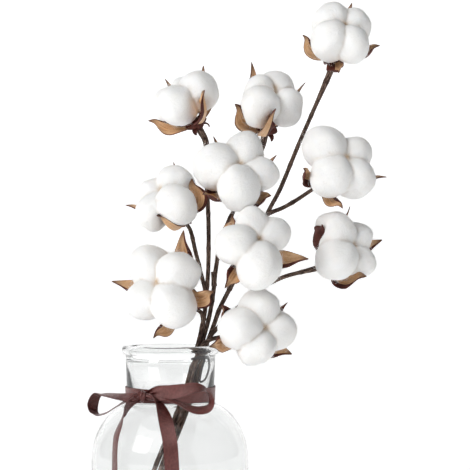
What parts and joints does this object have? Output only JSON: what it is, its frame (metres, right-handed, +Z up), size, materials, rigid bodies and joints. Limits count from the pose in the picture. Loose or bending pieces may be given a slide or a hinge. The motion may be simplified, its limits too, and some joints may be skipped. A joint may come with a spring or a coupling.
{
  "type": "cotton stem bunch",
  "caption": "Dried cotton twigs with open bolls, tied together and standing in a clear glass bottle vase with a satin bow round its neck.",
  "frame": {"origin": "centre of the vase's flat underside", "axes": "+Z up along the vase's axis, -Y towards the side that the bow is on, +X to the right as the bow is seen"},
  "size_m": [0.2499, 0.1513, 0.4958],
  "materials": {
    "glass": "clear polished",
    "satin": "satin",
    "twig": "dry bark",
    "wire": "dark paper-wrapped wire",
    "lint": "fluffy matt",
    "burr": "dry husk"
  },
  "bodies": {
    "root": {"vase": "glass", "ribbon": "satin", "stem_left": "twig", "stem_middle": "twig", "stem_tall": "twig", "stem_right": "twig", "stem_short": "twig", "wire_tie": "wire", "cotton_01": "lint", "cotton_02": "lint", "cotton_03": "lint", "cotton_04": "lint", "cotton_05": "lint", "cotton_06": "lint", "cotton_07": "lint", "cotton_08": "lint", "cotton_09": "lint", "cotton_10": "lint", "burr_01": "burr", "burr_02": "burr", "burr_03": "burr", "burr_04": "burr", "burr_05": "burr", "burr_06": "burr", "burr_07": "burr", "burr_08": "burr", "burr_09": "burr", "burr_10": "burr"}
  },
  "joints": []
}
